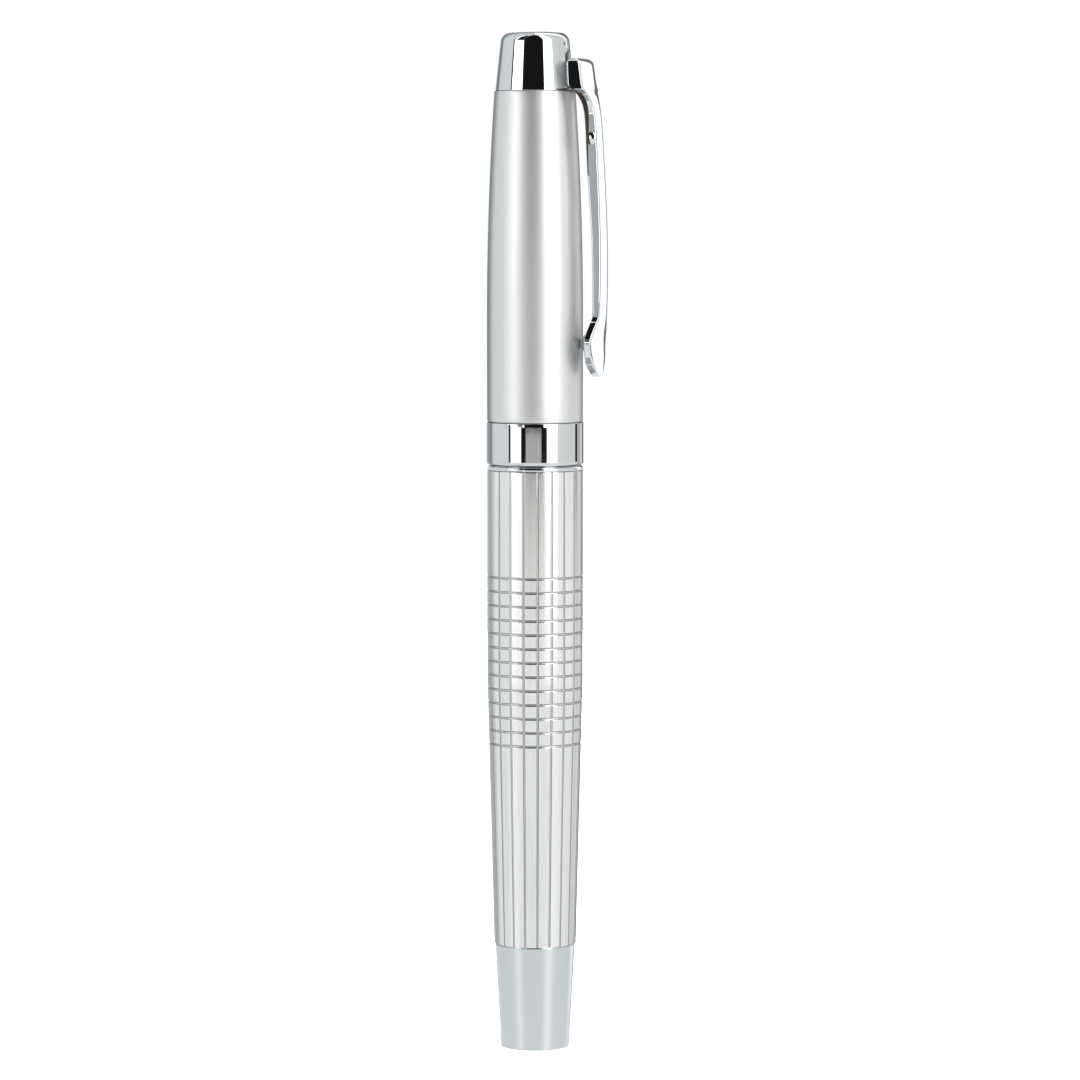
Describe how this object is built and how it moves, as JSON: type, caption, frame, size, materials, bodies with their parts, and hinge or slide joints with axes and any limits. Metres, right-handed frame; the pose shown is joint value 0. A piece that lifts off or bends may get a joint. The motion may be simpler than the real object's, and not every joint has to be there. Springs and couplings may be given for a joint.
{
  "type": "rollerball pen",
  "caption": "Capped metal rollerball pen: satin cap with a sprung leaf-ended clip and polished finial, bright barrel engraved with lines and a grid, plain tapered tail.",
  "frame": {"origin": "centre of the tail plug's flat end face", "axes": "+Z along the pen from the tail to the top of the cap, +X from the axis towards the clip"},
  "size_m": [0.0163, 0.013, 0.1364],
  "materials": {
    "engraved_silver": "bright, finely brushed along its length, with engraved lines",
    "mirror_steel": "mirror polish, slightly bluish",
    "polished_chrome": "mirror polish",
    "satin_silver": "fine satin, pearl-like",
    "brass": "turned",
    "spring_steel": "drawn wire",
    "washer_rubber": "matte",
    "grip_resin": "gloss black",
    "liner_plastic": "moulded",
    "refill_metal": "drawn tube",
    "refill_plastic": "moulded black",
    "refill_point": "turned nickel silver",
    "ball_metal": "polished hard metal",
    "ink_fibre": "ink-soaked fibre"
  },
  "bodies": {
    "barrel": {"barrel_shell": "engraved_silver", "tail_plug": "mirror_steel", "thread_bush": "brass", "refill_spring": "spring_steel"},
    "section_washer": {"section_washer": "washer_rubber"},
    "trim_ring": {"trim_ring": "polished_chrome"},
    "section": {"section_coupler": "brass", "grip_section": "grip_resin", "cap_snap_ring": "spring_steel", "nose_cone": "polished_chrome"},
    "refill": {"refill_tube": "refill_metal", "refill_end_plug": "refill_plastic", "ink_reservoir": "ink_fibre", "ink_wick": "ink_fibre", "tip_holder": "refill_plastic", "refill_tip": "refill_point", "writing_ball": "ball_metal"},
    "cap": {"cap_shell": "satin_silver", "cap_band": "polished_chrome", "inner_cap": "liner_plastic", "cap_screw": "spring_steel", "finial": "polished_chrome", "clip_pin": "spring_steel", "clip_spring": "spring_steel"},
    "clip": {"clip": "polished_chrome"}
  },
  "joints": [
    {"name": "section_pull", "type": "slide", "parent": "barrel", "child": "section_washer", "axis": [0, 0, 1], "range_m": [0, 0.12]},
    {"name": "thread_travel", "type": "slide", "parent": "section_washer", "child": "trim_ring", "axis": [0, 0, 1], "range_m": [0, 0.004]},
    {"name": "section_unscrew", "type": "hinge", "parent": "trim_ring", "child": "section", "pos_m": [0, 0, 0.0778], "axis": [0, 0, 1], "range_deg": [0, 1440]},
    {"name": "cap_pull", "type": "slide", "parent": "section", "child": "cap", "axis": [0, 0, 1], "range_m": [0, 0.055]},
    {"name": "clip_lift", "type": "hinge", "parent": "cap", "child": "clip", "pos_m": [0.0034, 0, 0.13035], "axis": [0, -1, 0], "range_deg": [0, 5], "stiffness_Nm_per_rad": 1, "springref_deg": -1.72, "deforming": ["clip_spring"]},
    {"name": "refill_draw", "type": "slide", "parent": "barrel", "child": "refill", "axis": [0, 0, 1], "range_m": [0, 0.048]}
  ],
  "couplings": [
    {"joint": "section_unscrew", "follows": "thread_travel", "rad_per_m": 6283.1},
    {"joint": "refill_draw", "follows": "section_pull", "ratio": 0.4}
  ]
}
